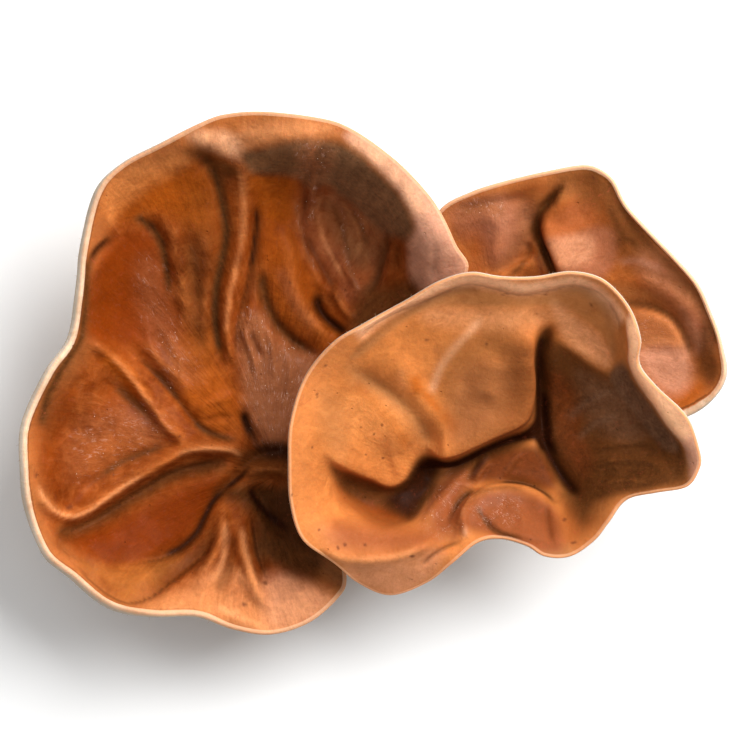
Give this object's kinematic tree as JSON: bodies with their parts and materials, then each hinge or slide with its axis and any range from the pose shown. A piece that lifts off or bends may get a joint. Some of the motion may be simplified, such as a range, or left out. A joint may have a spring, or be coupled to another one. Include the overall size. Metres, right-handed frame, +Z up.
{
  "type": "wood ear mushroom",
  "caption": "A cluster of three thin, folded wood ear mushrooms grown from one holdfast that is cut off flat, hollow sides up.",
  "frame": {"origin": "on the cut of the holdfast, under the middle of the cluster's box", "axes": "+X along the cluster, from the large ear to the two smaller ones; +Y away from the front ear; +Z up, out of the ears' hollows"},
  "size_m": [0.1416, 0.1043, 0.0461],
  "materials": {
    "ear_flesh": "satin",
    "holdfast": "matte"
  },
  "bodies": {
    "root": {"ear_left": "ear_flesh", "ear_front": "ear_flesh", "ear_back": "ear_flesh", "base": "holdfast"}
  },
  "joints": []
}
